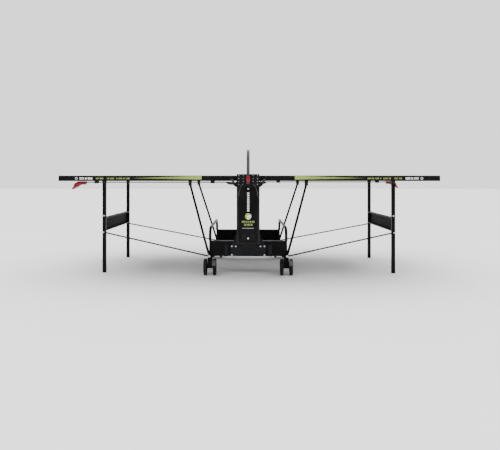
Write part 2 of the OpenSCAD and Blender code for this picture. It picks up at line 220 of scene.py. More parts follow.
def playing_surface(name):
    """Matt green lacquer with white border and centre lines, and black edges."""
    m = Nodes(name)
    low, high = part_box("left_board")
    end, side = -low[0], high[1]
    border = 0.020
    centre = 0.0015  # half the centre line's width
    split = m.new("ShaderNodeSeparateXYZ")
    m.link(m.place(), split.inputs["Vector"])
    x = m.math("ABSOLUTE", split.outputs["X"])
    y = m.math("ABSOLUTE", split.outputs["Y"])
    end_line = m.math("GREATER_THAN", x, end - border)
    side_line = m.math("GREATER_THAN", y, side - border)
    border_lines = m.math("MAXIMUM", end_line, side_line)
    lines = m.math("MAXIMUM", border_lines, m.math("LESS_THAN", y, centre))
    on_top = m.math("GREATER_THAN", split.outputs["Z"], high[2] - 0.0005)
    green = m.ramp(m.noise(6.0, 5.0), (0.008, 0.085, 0.045), (0.013, 0.115, 0.062))
    lacquer = m.mix(lines, green, (0.80, 0.81, 0.80))
    m.set(Base_Color=m.mix(on_top, (0.012, 0.012, 0.013), lacquer))
    m.set(Roughness=m.math("MULTIPLY_ADD", m.noise(35.0, 4.0), 0.12, 0.5))
    m.bump(m.noise(1100.0, 3.0), 0.25, 0.0002, 0.8)
    return m.material


def net_cloth(name, low, high, weave):
    """Knitted cord or woven tape."""
    m = Nodes(name)
    m.set(Base_Color=m.ramp(m.noise(weave, 3.0), low, high), Roughness=0.85, Sheen_Weight=0.25)
    wave = m.new("ShaderNodeTexWave", wave_type="BANDS", bands_direction="DIAGONAL")
    wave.inputs["Scale"].default_value = weave
    wave.inputs["Distortion"].default_value = 1.5
    m.link(m.place(), wave.inputs["Vector"])
    m.bump(wave.outputs["Fac"], 0.6, 0.0004)
    return m.material


def studio_floor(name):
    """Pale studio paper."""
    m = Nodes(name)
    m.set(Base_Color=m.ramp(m.noise(0.8, 3.0), (0.93, 0.93, 0.93), (0.96, 0.96, 0.96)), Roughness=0.9)
    return m.material


BLACK = powder_coat("black_powder_coat", (0.0045, 0.0044, 0.0045), (0.0085, 0.0083, 0.0084), 0.42)
DARK = powder_coat("dark_powder_coat", (0.013, 0.0135, 0.015), (0.022, 0.0225, 0.025), 0.36)
PLASTIC = moulded_plastic("black_moulding", (0.006, 0.006, 0.0065), (0.011, 0.011, 0.012), 0.5)
GREY_PLASTIC = moulded_plastic("grey_moulding", (0.09, 0.092, 0.097), (0.15, 0.152, 0.158), 0.5)
DOT_GREY = moulded_plastic("dot_moulding", (0.16, 0.16, 0.165), (0.24, 0.24, 0.245), 0.4)
PANEL = powder_coat("panel_powder_coat", (0.022, 0.0215, 0.021), (0.032, 0.031, 0.030), 0.65, shine=0.02)
# lighter copy of the panel's coat: painted highlight along the panel's lips
PANEL_LIP_HIGHLIGHT = powder_coat("panel_lip_painted_highlight", (0.07, 0.07, 0.068), (0.10, 0.10, 0.098), 0.5)
POST = powder_coat("post_powder_coat", (0.045, 0.045, 0.046), (0.07, 0.07, 0.071), 0.3, shine=0.3)
# pale grey for the column's raised arcs: a painted highlight along the ribs
ARC_HIGHLIGHT = printed("arc_painted_highlight", (0.10, 0.10, 0.102), (0.15, 0.15, 0.152))
RED = moulded_plastic("red_moulding", (0.20, 0.004, 0.014), (0.30, 0.007, 0.024), 0.34, shine=0.35)
# darker copy of the red moulding: painted shade for the rim of the net knob
SHADED_RED = moulded_plastic("red_moulding_painted_shade", (0.05, 0.002, 0.006), (0.08, 0.003, 0.010), 0.45, shine=0.2)
ZINC = bare_metal("zinc_plate", (0.035, 0.036, 0.038), (0.075, 0.076, 0.079), 0.42, (0.05, 1.0, 1.0))
BOLT = bare_metal("bright_bolt", (0.60, 0.61, 0.62), (0.78, 0.79, 0.80), 0.28, (1.0, 0.1, 1.0))
TYRE = rubber("tyre_rubber")
WHITE_INK = printed("white_ink", (0.70, 0.70, 0.68), (0.84, 0.84, 0.82))
LIME_INK = printed("lime_ink", (0.30, 0.36, 0.05), (0.40, 0.47, 0.09))
OLIVE_INK = printed("olive_ink", (0.16, 0.19, 0.06), (0.24, 0.28, 0.10))
PALE_INK = printed("pale_ink", (0.24, 0.24, 0.245), (0.34, 0.34, 0.345))
STRIPE = stripe_ink("stripe_ink", 0.335, 0.84)
BOARD = playing_surface("green_lacquer")
NET = net_cloth("net_cord", (0.012, 0.012, 0.013), (0.03, 0.03, 0.032), 500.0)
TAPE = net_cloth("net_tape", (0.72, 0.72, 0.70), (0.86, 0.86, 0.84), 700.0)
TAPE_BLACK = net_cloth("net_black_tape", (0.012, 0.012, 0.013), (0.028, 0.028, 0.03), 700.0)

CAD_LOOKS = (
    (("_board",), BOARD),
    (("head_box", "_feet"), PLASTIC),
    (("net_knob", "_handle"), RED),
    (("_bolts",), BOLT),
    (("_wheels",), TYRE),
    (("_brake",), GREY_PLASTIC),
    (("_fork",), PLASTIC),
    (("release_rod", "release_link", "latch_", "striker_pins"), ZINC),
    (("leg_panel",), PANEL),
    (("net_post",), POST),
    (("_bow", "outrigger", "brackets"), DARK),
    (("net",), NET),
)


def cad_material(name):
    """The first look whose words are in the node's name, or plain black."""
    for words, material in CAD_LOOKS:
        if any(word in name for word in words):
            return material
    return BLACK


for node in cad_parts:
    mesh = bpy.data.objects[node].data
    mesh.materials.clear()
    mesh.materials.append(cad_material(node))

# ---------------------------------------------------------------- stage


CAMERA_PLACE = (0.0, -4.558, 0.726)
CAMERA_YAW = math.radians(1.0)
FLOOR_REACH = 40.0


def make_camera():
    """The photograph's camera: level, almost square to the table's side."""
    data = bpy.data.cameras.new("camera")
    data.lens = 38.06
    data.sensor_width = 36.0
    data.shift_x = 0.0222
    data.shift_y = -0.0896
    camera = bpy.data.objects.new("camera", data)
    camera.location = CAMERA_PLACE
    camera.rotation_euler = (math.radians(90), 0, CAMERA_YAW)
    bpy.context.collection.objects.link(camera)
    bpy.context.scene.camera = camera


def make_floor():
    corners = [(x * FLOOR_REACH, y * FLOOR_REACH, 0) for x, y in ((-1, -1), (1, -1), (1, 1), (-1, 1))]
    mesh = bpy.data.meshes.new("floor")
    mesh.from_pydata(corners, [], [(0, 1, 2, 3)])
    mesh.materials.append(studio_floor("floor_paper"))
    floor = bpy.data.objects.new("floor", mesh)
    bpy.context.collection.objects.link(floor)


def make_world():
    """A soft wall of light behind the table, fading to grey behind the camera."""
    world = bpy.data.worlds.new("studio")
    world.use_nodes = True
    nodes, links = world.node_tree.nodes, world.node_tree.links
    split = nodes.new("ShaderNodeSeparateXYZ")
    ramp = nodes.new("ShaderNodeValToRGB")
    ramp.color_ramp.elements[0].color = (0.14, 0.14, 0.14, 1.0)
    ramp.color_ramp.elements[0].position = 0.35
    ramp.color_ramp.elements[1].color = (1.0, 1.0, 1.0, 1.0)
    ramp.color_ramp.elements[1].position = 0.8
    half = nodes.new("ShaderNodeMath")
    half.operation = "MULTIPLY_ADD"
    half.inputs[1].default_value = 0.5
    half.inputs[2].default_value = 0.5
    links.new(nodes.new("ShaderNodeTexCoord").outputs["Generated"], split.inputs["Vector"])
    links.new(split.outputs["Y"], half.inputs[0])
    links.new(half.outputs["Value"], ramp.inputs["Fac"])
    links.new(ramp.outputs["Color"], nodes["Background"].inputs["Color"])
    nodes["Background"].inputs["Strength"].default_value = 1.6
    bpy.context.scene.world = world


def area_light(name, place, target, size, power):
    data = bpy.data.lights.new(name, "AREA")
    data.shape = "RECTANGLE"
    data.size, data.size_y = size
    data.energy = power
    light = bpy.data.objects.new(name, data)
    light.location = place
    light.rotation_euler = (Vector(target) - Vector(place)).to_track_quat("-Z", "Y").to_euler()
    bpy.context.collection.objects.link(light)


def make_lights():
    """A very soft light from overhead, and two large soft ones from the front."""
    data = bpy.data.lights.new("overhead", "SUN")
    data.energy = 4.4
    data.angle = math.radians(110)
    bpy.context.collection.objects.link(bpy.data.objects.new("overhead", data))
    area_light("key", (-2.5, -4.0, 4.5), (0, 0, 0.5), (3.0, 2.0), 36)
    area_light("fill", (3.5, -3.5, 2.0), (0, 0, 0.4), (2.5, 2.5), 16)


make_camera()
make_floor()
make_world()
make_lights()

# ---------------------------------------------------------------- mesh building

BOTH = (-1, 1)
PLACES = {
    "X": lambda a, b, along: (along, a, b),
    "Y": lambda a, b, along: (a, along, b),
}


def turns(steps):
    """Angles evenly round a full turn, in radians."""
    return [2 * math.pi * k / steps for k in range(steps)]


def soften(solid, round_mm, steps, clamp=False):
    """Rounds every edge of a solid."""
    if round_mm:
        bmesh.ops.bevel(solid, geom=solid.edges[:], offset=round_mm, segments=steps, profile=0.5,
                        affect="EDGES", clamp_overlap=clamp)


class Shape:
    """Solids given in millimetres in the row frame, gathered into one mesh."""

    def __init__(self):
        self.bm = bmesh.new()

    def add(self, solid, matrix=None):
        bmesh.ops.recalc_face_normals(solid, faces=solid.faces[:])
        if matrix is not None:
            solid.transform(matrix)
        mesh = bpy.data.meshes.new("part")
        solid.to_mesh(mesh)
        solid.free()
        self.bm.from_mesh(mesh)
        bpy.data.meshes.remove(mesh)

    def box(self, one, other, round_mm=0.0, steps=2, matrix=None):
        """A box between two opposite corners, given in either order."""
        solid = bmesh.new()
        bmesh.ops.create_cube(solid, size=1.0)
        for v in solid.verts:
            v.co = Vector([(a + b) / 2 + c * abs(b - a) for a, b, c in zip(one, other, v.co)])
        soften(solid, round_mm, steps)
        self.add(solid, matrix)

    def prism(self, outline, axis, start, end, round_mm=0.0, steps=2):
        """An outline in the two other axes, in their order, pulled along axis."""
        place = PLACES[axis]
        start, end = sorted((start, end))
        solid = bmesh.new()
        low = [solid.verts.new(place(a, b, start)) for a, b in outline]
        high = [solid.verts.new(place(a, b, end)) for a, b in outline]
        solid.faces.new(low)
        solid.faces.new(high[::-1])
        for i in range(len(outline)):
            j = (i + 1) % len(outline)
            solid.faces.new((low[i], high[i], high[j], low[j]))
        bmesh.ops.recalc_face_normals(solid, faces=solid.faces[:])
        soften(solid, round_mm, steps, clamp=True)
        self.add(solid)

    def lathe(self, profile, centre, direction, steps=48, closed=False):
        """(radius, distance along direction) points turned round a line through centre."""
        turn = Matrix.Translation(centre) @ Vector(direction).to_track_quat("Z", "Y").to_matrix().to_4x4()
        solid = bmesh.new()
        rings = []
        for radius, along in profile:
            if radius < 1e-6:
                rings.append([solid.verts.new((0, 0, along))] * steps)
            else:
                rings.append([solid.verts.new((radius * math.cos(a), radius * math.sin(a), along))
                              for a in turns(steps)])
        pairs = list(zip(rings, rings[1:])) + ([(rings[-1], rings[0])] if closed else [])
        for one, two in pairs:
            for i in range(steps):
                j = (i + 1) % steps
                corners = []
                for v in (one[i], one[j], two[j], two[i]):
                    if v not in corners:
                        corners.append(v)
                if len(corners) > 2:
                    solid.faces.new(corners)
        if not closed:
            for ring in (rings[0], rings[-1]):
                if ring[0] is not ring[1]:
                    solid.faces.new(ring)
        self.add(solid, turn)

    def rod(self, points, radius, steps=10):
        """A round bar along a line of points."""
        points = [Vector(p) for p in points]
        solid = bmesh.new()
        rings = []
        for i, p in enumerate(points):
            ahead = (points[min(i + 1, len(points) - 1)] - points[max(i - 1, 0)]).normalized()
            turn = ahead.to_track_quat("Z", "Y")
            rings.append([solid.verts.new(p + turn @ Vector((radius * math.cos(a), radius * math.sin(a), 0)))
                          for a in turns(steps)])
        for one, two in zip(rings, rings[1:]):
            for i in range(steps):
                j = (i + 1) % steps
                solid.faces.new((one[i], one[j], two[j], two[i]))
        solid.faces.new(rings[0])
        solid.faces.new(rings[-1][::-1])
        self.add(solid)

    def bolt(self, seat, direction, radius, height):
        """A washer, a chamfered hexagon head and the thread's rounded end."""
        washer = [(0, 0), (radius, 0), (radius, 0.16 * height), (0.94 * radius, 0.22 * height),
                  (0, 0.22 * height)]
        across = 0.84 * radius
        head = [(0, 0.2 * height), (across, 0.2 * height), (across, 0.82 * height),
                (0.86 * across, 0.94 * height), (0, 0.94 * height)]
        thread = [(0, 0.9 * height), (0.45 * radius, 0.9 * height), (0.38 * radius, height), (0, height)]
        self.lathe(washer, seat, direction, 32)
        self.lathe(head, seat, direction, 6)
        self.lathe(thread, seat, direction, 20)

    def piece(self, name, material, body, slot, stands_for=(), sharp=38):
        """Makes the object, with edges over `sharp` degrees kept crisp, and attaches it to its body."""
        bmesh.ops.remove_doubles(self.bm, verts=self.bm.verts[:], dist=1e-4)
        for v in self.bm.verts:
            v.co *= MM
        mesh = bpy.data.meshes.new(name)
        self.bm.to_mesh(mesh)
        self.bm.free()
        for face in mesh.polygons:
            face.use_smooth = True
        mesh.set_sharp_from_angle(angle=math.radians(sharp))
        mesh.materials.append(material)
        obj = bpy.data.objects.new(name, mesh)
        bpy.context.collection.objects.link(obj)
        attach(obj, body)
        if stands_for:
            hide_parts(*stands_for)
        return obj


# ---------------------------------------------------------------- castors

SWIVEL_X, SWIVEL_Y = 292.0, 474.0
TRAIL = 38.0  # from the swivel's line back to the axle
AXLE_Z = 62.5
WHEEL_X = 35.6  # from the castor's middle to a wheel's middle
FORK_HALF = 19
PEDAL_START = 19.7
PEDAL_ANGLE = math.radians(56)


def castor_tyres(name, x0, axle_y):
    """Tyres with a grooved tread and a raised bead on each side."""
    half = [(62.5, 0.0), (62.5, 2.2), (61.7, 2.7), (61.7, 3.5), (62.5, 4.0), (62.3, 6.8), (61.0, 9.9),
            (58.0, 11.7), (53.5, 11.8), (52.3, 10.9), (50.6, 10.9), (49.0, 11.8), (46.5, 11.0), (44.2, 8.8)]
    tread = [(r, -a) for r, a in reversed(half)] + half[1:]
    tyres = Shape()
    for s in BOTH:
        tyres.lathe(tread, (x0 + s * WHEEL_X, axle_y, AXLE_Z), (1, 0, 0), 64, closed=True)
    tyres.piece(f"{name}_tyres", TYRE, f"{name}_wheels", "wheel_rubber", [f"{name}_wheels"], 50)


def castor_hubs(name, x0, axle_y):
    """Dished hubs with six ribs."""
    face = [(44.4, 8.9), (42.6, 10.2), (39.0, 10.2), (37.4, 8.6), (36.8, 3.0), (14.5, 3.0), (12.8, 10.4),
            (4.3, 11.2)]
    disc = [(r, -a) for r, a in face] + list(reversed(face))
    hubs = Shape()
    for s in BOTH:
        centre = Vector((x0 + s * WHEEL_X, axle_y, AXLE_Z))
        hubs.lathe(disc, centre, (1, 0, 0), 60, closed=True)
        for k in range(6):
            turn = Matrix.Translation(centre) @ Matrix.Rotation(math.radians(60 * k + 15), 4, "X")
            hubs.box((-7.6, -1.8, 12.0), (7.6, 1.8, 38.0), 0.8, 1, turn)
    hubs.piece(f"{name}_hubs", PLASTIC, f"{name}_wheels", "black_plastic")


def castor_shell(name, x0, y0, axle_y):
    """The moulded fork between the wheels, with a boss on each side and the swivel's collar on top."""
    outline = [(26, 131), (26, 112), (4, 79), (-14, 59), (-35, 52.2), (-40, 53.4), (-46, 54), (-51.2, 53.6),
               (-53, 61), (-50, 82), (-44, 106), (-37, 131)]
    boss = [(0, 0), (12.0, 0), (12.0, 2.2), (9.0, 3.4), (4.0, 3.4)]
    collar = [(0, 128), (16.5, 128), (16.5, 134), (15, 136), (15, 141.2), (0, 141.2)]
    shell = Shape()
    shell.prism([(y0 + y, z) for y, z in outline], "X", x0 - FORK_HALF, x0 + FORK_HALF, 3.0, 3)
    for s in BOTH:
        shell.lathe(boss, (x0 + s * FORK_HALF, axle_y, AXLE_Z), (s, 0, 0), 32)
    shell.lathe(collar, (x0, y0, 0), (0, 0, 1), 40)
    shell.piece(f"{name}_shell", PLASTIC, f"{name}_fork", "black_plastic", [f"{name}_fork"])


def castor_axle(name, x0, y0, axle_y):
    """The axle with its end caps, and the swivel's pin with its nut."""
    reach = WHEEL_X + 14.8
    cap = [(0, 0), (10, 0), (10, 0.9), (8.6, 2.2), (4.5, 3.0), (0, 3.1)]
    pin = [(0, 128), (6, 128), (6, 155), (5, 156), (0, 156)]
    steel = Shape()
    steel.lathe([(0, -reach), (4, -reach), (4, reach), (0, reach)], (x0, axle_y, AXLE_Z), (1, 0, 0), 24)
    for s in BOTH:
        steel.lathe(cap, (x0 + s * (WHEEL_X + 12.4), axle_y, AXLE_Z), (s, 0, 0), 32)
    steel.lathe(pin, (x0, y0, 0), (0, 0, 1), 24)
    steel.bolt((x0, y0, 145.4), (0, 0, 1), 9.6, 8.5)
    steel.piece(f"{name}_axle", ZINC, f"{name}_fork", "zinc_steel")


def castor_pedal(name, x0, axle_y):
    """The brake's arm round the axle, and its ribbed plate over the wheel."""
    out = Vector((-math.sin(PEDAL_ANGLE), math.cos(PEDAL_ANGLE)))
    along = Vector((-math.cos(PEDAL_ANGLE), -math.sin(PEDAL_ANGLE)))

    def polar(r, degrees):
        a = math.radians(degrees)
        return axle_y - r * math.sin(a), AXLE_Z + r * math.cos(a)

    def plate(near, far, low, high):
        corners = ((near, low), (far, low), (far, high), (near, high))
        return [Vector((axle_y, AXLE_Z)) + out * r + along * t for r, t in corners]

    arm = [polar(9, 158 + 22 * k) for k in range(8)] + [polar(67.3, a) for a in (40, 48, 56, 64, 72)]
    pedal = Shape()
    pedal.prism(arm, "X", x0 + PEDAL_START, x0 + PEDAL_START + 3.0, 0.8, 1)
    pedal.prism(plate(65.6, 69.4, -21.8, 21.8), "X", x0 + PEDAL_START, x0 + 47.8, 1.5, 2)
    for k in range(7):
        rib = -17.6 + 5.6 * k
        pedal.prism(plate(69.0, 70.4, rib, rib + 1.8), "X", x0 + 23.5, x0 + 45.0, 0.5, 1)
    pedal.piece(f"{name}_pedal", GREY_PLASTIC, f"{name}_brake", "brake_plastic", [f"{name}_brake"])


def castor(row, side, sx, sy):
    name = f"{row}_{side}_castor"
    x0, y0 = sx * SWIVEL_X, sy * SWIVEL_Y
    axle_y = y0 - TRAIL
    castor_tyres(name, x0, axle_y)
    castor_hubs(name, x0, axle_y)
    castor_shell(name, x0, y0, axle_y)
    castor_axle(name, x0, y0, axle_y)
    castor_pedal(name, x0, axle_y)


for row, sy in ROWS:
    for side, sx in HALVES:
        castor(row, side, sx, sy)

# ---------------------------------------------------------------- chassis

PIVOT_X, PIVOT_Z = 297, 147
HEAD_BACK, HEAD_FRONT = 778, 868
COLUMN_HALF = 80.4
BEAM_CAP = (440.2, 443.5)  # the cap's thickness, on the beam's outer face
BEAM_LOW, BEAM_HIGH = 156, 254.8
TUBE_R = 11.0
POST_Y = 915
POST_FOOT_Z = 706
ARCH_Y, ARCH_Z = 848, 864  # middle of the net post's arch
ARCH_R = 67
ARCH_TURN = math.radians(112)
KNOB_Z = 733
MARK_BACK, MARK_FRONT = 849.8, 850.25  # printed marks on the column's face
DISC_Z = 472


def facing(sy, x, depth, z):
    """A point of the near side's pattern, or of the far side, which is the near one turned half a turn."""
    return (-sy * x, sy * depth, z)


def chassis_bolts(row, sy, out):
    """The pivots' pins and bolts, the front plate's bolts and the column's bolts."""
    bolts = Shape()
    for s in BOTH:
        bolts.lathe([(0, 0), (4.9, 0), (4.9, 48), (0, 48)], facing(sy, s * PIVOT_X, 491.5, PIVOT_Z), out, 24)
        bolts.bolt(facing(sy, s * PIVOT_X, 539, PIVOT_Z), out, 9, 6)
        for x, z in ((125, 218), (95, 218), (125, 152)):
            bolts.bolt(facing(sy, s * x, 496, z), out, 6.2, 4)
    for z in (318, 666):
        bolts.bolt(facing(sy, 0, 850.6, z), out, 6.2, 4)
    stands = ["chassis_bolts"] if row == "near" else []
    bolts.piece(f"{row}_chassis_bolts", BOLT, "chassis", "bolt_steel", stands)


def head_box(row, sy, out):
    """The head's moulded shell with the post's socket, and the rows of dots on its face."""
    outline = [(-80, 769), (-2.5, 769), (-2.5, 760), (2.5, 760), (2.5, 769), (80, 769), (80, 716), (103, 704),
               (103, 690), (84, 678), (-84, 678), (-103, 690), (-103, 704), (-80, 716)]
    wing = [(82, 700), (98, 700), (98, 693), (86, 686), (82, 686)]
    head = Shape()
    head.prism(outline, "Y", sy * HEAD_BACK, sy * HEAD_FRONT, 2.2, 2)
    head.box((-17, sy * (HEAD_FRONT - 2), 712), (17, sy * 930, 754), 3.5, 3)
    for s in BOTH:
        outline = [(s * x, z) for x, z in wing]
        head.prism(outline, "Y", sy * (HEAD_FRONT - 0.5), sy * (HEAD_FRONT + 1.0), 0.5, 1)
    head.piece(f"{row}_head_shell", PLASTIC, "chassis", "black_plastic", [f"{row}_head_box"])

    dots = Shape()
    for s in BOTH:
        for x, count in ((34, 3), (65, 4)):
            for k in range(count):
                place = (s * x, sy * (HEAD_FRONT - 0.1), 757.5 - 20 * k)
                dots.lathe([(3.9, 0), (3.6, 0.9), (2.4, 1.6), (0, 1.8)], place, out, 20)
    dots.piece(f"{row}_head_dots", DOT_GREY, "chassis", "brake_plastic")


def column_trim(row, sy):
    """The column's edge strips, slots and base strip, and the raised arcs that cross on to the head, painted
    pale as a highlight.
    """
    trim, arcs = Shape(), Shape()
    for s in BOTH:
        trim.box((s * 67.5, sy * 844, 281), (s * COLUMN_HALF, sy * 850.9, 676), 0.8, 1)
        for x in (24, 36):
            trim.box((s * x, sy * 849, 304), (s * (x + 4), sy * 851, 346), 0.8, 1)
        lower = ((52, 676), (57, 664), (62, 648), (65, 632), (66.5, 616))
        upper = ((35, 701), (41, 695), (46, 688), (50.5, 681))
        # raised arcs, coloured pale as a painted highlight
        arcs.rod([(s * x, sy * MARK_BACK, z) for x, z in lower], 1.5, 8)
        arcs.rod([(s * x, sy * (HEAD_FRONT - 0.2), z) for x, z in upper], 1.5, 8)
    trim.box((-COLUMN_HALF, sy * 844, 279.4), (COLUMN_HALF, sy * 851.2, 284.5), 0.8, 1)
    trim.piece(f"{row}_column_trim", DARK, "chassis", "dark_metal")
    arcs.piece(f"{row}_column_arcs", ARC_HIGHLIGHT, "chassis", "dark_metal")


def beam_caps(row, sy):
    caps = Shape()
    for s in BOTH:
        caps.box((s * 277, sy * BEAM_CAP[0], BEAM_LOW), (s * 299.6, sy * BEAM_CAP[1], BEAM_HIGH), 1.2, 2)
        caps.box((s * 296.6, sy * BEAM_CAP[0], BEAM_LOW), (s * 299.7, sy * 488.8, BEAM_HIGH), 1.2, 2)
    caps.piece(f"{row}_beam_caps", DARK, "chassis", "dark_metal")


def weld_beads(row, sy):
    """Beads round the bows' feet and along the trough's edges."""
    welds = Shape()
    bead = [(TUBE_R + 1.5 * math.cos(a), 1.5 * math.sin(a)) for a in turns(8)]
    for s in BOTH:
        welds.lathe(bead, (s * 295, sy * 456, 258.6), (0, 0, 1), 40, closed=True)
    for s in BOTH:
        welds.rod([(s * 79.5, sy * 498, 232), (s * 79.5, sy * 600, 251), (s * 79.5, sy * 779, 284)], 1.3, 6)
    welds.piece(f"{row}_weld_beads", DARK, "chassis", "dark_metal")


def post_plugs(row, sy):
    """Plugs in the net post's two ends, and a collar where it enters its socket."""
    end = Vector((0, sy * (ARCH_Y + ARCH_R * math.cos(ARCH_TURN)), ARCH_Z + ARCH_R * math.sin(ARCH_TURN)))
    ahead = Vector((0, -sy * math.sin(ARCH_TURN), math.cos(ARCH_TURN)))
    bore = 8.8
    top = [(0, -6), (bore, -6), (bore, 0), (TUBE_R, 0), (TUBE_R, 1.6), (9.4, 3.4), (5.0, 4.6), (0, 5.0)]
    foot = [(0, 0), (bore, 0), (bore, -6), (TUBE_R, -6), (TUBE_R, -7.6), (7, -9.5), (0, -10)]
    collar = [(TUBE_R + 0.05, 0), (12.6, 0.4), (12.6, 5.0), (TUBE_R + 0.05, 5.6)]
    plug = Shape()
    plug.lathe(top, end, ahead, 32)
    plug.lathe(foot, (0, sy * POST_Y, POST_FOOT_Z), (0, 0, 1), 32)
    plug.lathe(collar, (0, sy * POST_Y, 753.8), (0, 0, 1), 36)
    plug.piece(f"{row}_post_plugs", PLASTIC, "chassis", "black_plastic")


def oval(radii, middle_z, half_gap):
    """Points round a long oval: two half circles, half_gap above and below its middle."""
    points = []
    for a, r in zip(turns(len(radii)), radii):
        lift = half_gap if math.sin(a) > 0 else -half_gap
        points.append((r * math.cos(a), middle_z + r * math.sin(a) + lift))
    return points


def net_knob(row, sy, out):
    """A fluted oval base on its spindle, with a domed grip; the base's darker red is painted shade on the
    knob's rounded rim.
    """
    fluted = [14.2, 14.9] * 20
    base = Shape()
    base.prism(oval(fluted, KNOB_Z, 10), "Y", sy * 933, sy * 941, 1.0, 1)
    base.lathe([(0, 0), (4, 0), (4, 8), (0, 8)], (0, sy * 926, KNOB_Z), out, 20)
    # the base's darker red is painted shade round the grip
    base.piece(f"{row}_knob_base", SHADED_RED, f"{row}_net_knob", "red_plastic")
    grip = Shape()
    grip.prism(oval([11.8] * 40, KNOB_Z + 1, 9.5), "Y", sy * 940, sy * 947.8, 4.2, 4)
    grip.piece(f"{row}_knob_grip", RED, f"{row}_net_knob", "red_plastic", [f"{row}_net_knob"], 30)


def marks_on_column(row, sy):
    """Generic printed marks: a stack of white blocks, a two-colour disc, olive bars and a pale line."""

    def bar(shape, x0, x1, z0, z1):
        shape.box((-sy * x0, sy * MARK_BACK, z0), (-sy * x1, sy * MARK_FRONT, z1), 0.15, 1)

    white = Shape()
    for k in range(9):
        bar(white, -6.5, 8.0, 507 + 15.2 * k, 518.5 + 15.2 * k)
    ball = [(22 * math.cos(a), DISC_Z + 22 * math.sin(a)) for a in turns(36)]
    white.prism(ball, "Y", sy * MARK_BACK, sy * MARK_FRONT)
    white.piece(f"{row}_column_white_marks", WHITE_INK, "chassis", "zinc_steel")

    lime = Shape()
    edge = [math.radians(d) for d in range(55, 251, 13)]
    outer = [(-sy * 22.3 * math.cos(a), DISC_Z + 22.3 * math.sin(a)) for a in edge]
    inner = [(-sy * (8 + 17 * math.cos(a)), DISC_Z - 7 + 19 * math.sin(a)) for a in reversed(edge)]
    lime.prism(outer + inner, "Y", sy * MARK_BACK, sy * (MARK_FRONT + 0.25))
    lime.piece(f"{row}_column_lime_mark", LIME_INK, "chassis", "brake_plastic")

    olive = Shape()
    for x0, x1 in ((-45, -22), (-18, -4), (0, 5), (9, 22), (26, 45)):
        bar(olive, x0, x1, 427, 441)
    for x0, x1 in ((-28, -12), (-8, 12), (16, 31)):
        bar(olive, x0, x1, 406, 421)
    olive.piece(f"{row}_column_olive_marks", OLIVE_INK, "chassis", "brake_plastic")

    pale = Shape()
    bar(pale, -43, 38, 386, 391.5)
    pale.piece(f"{row}_column_pale_line", PALE_INK, "chassis", "brake_plastic")


for row, sy in ROWS:
    out = (0, sy, 0)
    chassis_bolts(row, sy, out)
    head_box(row, sy, out)
    column_trim(row, sy)
    beam_caps(row, sy)
    weld_beads(row, sy)
    post_plugs(row, sy)
    net_knob(row, sy, out)
    marks_on_column(row, sy)

# ---------------------------------------------------------------- folding halves

HINGE_X, HINGE_Y, HINGE_Z = 460, 372, 695
LEG_X, LEG_Y, LEG_Z = 1132, 410, 712
LEG_HALF_X, LEG_HALF_Y = 13.5, 11
STRUT_Z = 318
PANEL_LIPS = (328.3, 426.3)
ROD_Y = 388
RAIL_FACE = 762.0


def half_bolts(side, sx):
    """The bolts of the support tubes' hinges and the legs' hinges."""
    pins = Shape()
    for sy in BOTH:
        for e in BOTH:
            pins.bolt((sx * HINGE_X, sy * HINGE_Y + e * 11, HINGE_Z), (0, e, 0), 6.0, 3.4)
            pins.bolt((sx * LEG_X, sy * LEG_Y + e * 16, LEG_Z), (0, e, 0), 5.4, 3.2)
    pins.piece(f"{side}_hinge_bolts", ZINC, f"{side}_top", "zinc_steel")


def leg_details(side, sx):
    """Screws and foot caps on the legs, the struts' bolts, and the lips of the panel between the legs,
    painted lighter than the panel as a highlight.
    """
    screw = [(0, 0.8), (2.4, 0.8), (2.6, 2.2), (4.6, 2.3), (6.3, 1.4), (7.0, 0.3), (7.0, 0)]
    screws = Shape()
    for sy in BOTH:
        for z in (STRUT_Z, 448):
            screws.lathe(screw, (sx * LEG_X, sy * (LEG_Y + LEG_HALF_Y), z), (0, sy, 0), 32)
    screws.piece(f"{side}_leg_screws", BOLT, f"{side}_legs", "bolt_steel", [f"{side}_leg_bolts"])

    cap, seam, plug = (0, 0, 5.6, 1.8, 3), (0.6, 5, 6.4, 0.3, 1), (2.1, 5, 30, 0.8, 1)
    feet = Shape()
    for sy in BOTH:
        for inset, low, high, round_mm, steps in (cap, seam, plug):
            half_x, half_y = LEG_HALF_X - inset, LEG_HALF_Y - inset
            x, y = sx * LEG_X, sy * LEG_Y
            feet.box((x - half_x, y - half_y, low), (x + half_x, y + half_y, high), round_mm, steps)
    feet.piece(f"{side}_foot_caps", PLASTIC, f"{side}_legs", "black_plastic", [f"{side}_leg_feet"])

    nuts = Shape()
    for sy in BOTH:
        nuts.bolt((sx * LEG_X, sy * (LEG_Y + 24), STRUT_Z), (0, sy, 0), 6.6, 4.6)
    nuts.piece(f"{side}_strut_bolts", BOLT, f"{side}_struts", "bolt_steel")

    # the lips' paler coat is a painted highlight on the panel's folds
    lips = Shape()
    for z in PANEL_LIPS:
        lips.box((sx * 1118.2, -396, z), (sx * 1120.5, 396, z + 7.4), 0.6, 1)
    lips.piece(f"{side}_panel_lips", PANEL_LIP_HIGHLIGHT, f"{side}_legs", "dark_metal")


def handle_grip(side, sx):
    """The red pull handle, hooked down at its end, with ribs across its slope."""
    rod_y = sx * ROD_Y
    outline = [(1284, 692), (1284, 717), (1341, 717), (1359, 708), (1372, 698), (1377, 686), (1379, 677),
               (1390, 665), (1392, 654), (1388, 652), (1376, 661), (1362, 667), (1350, 672), (1337, 681),
               (1324, 690)]
    grip = Shape()
    grip.prism([(sx * x, z) for x, z in outline], "Y", rod_y - 22, rod_y + 22, 1.4, 2)
    for k in range(5):
        x, z = 1343.5 + 6.8 * k, 715.6 - (3.4 + 0.25 * k) * k
        grip.box((sx * (x - 1.2), rod_y - 17, z - 5.2), (sx * (x + 1.2), rod_y + 17, z + 0.4), 0.5, 1)
    grip.piece(f"{side}_handle_grip", RED, f"{side}_release", "red_plastic", [f"{side}_release_handle"])


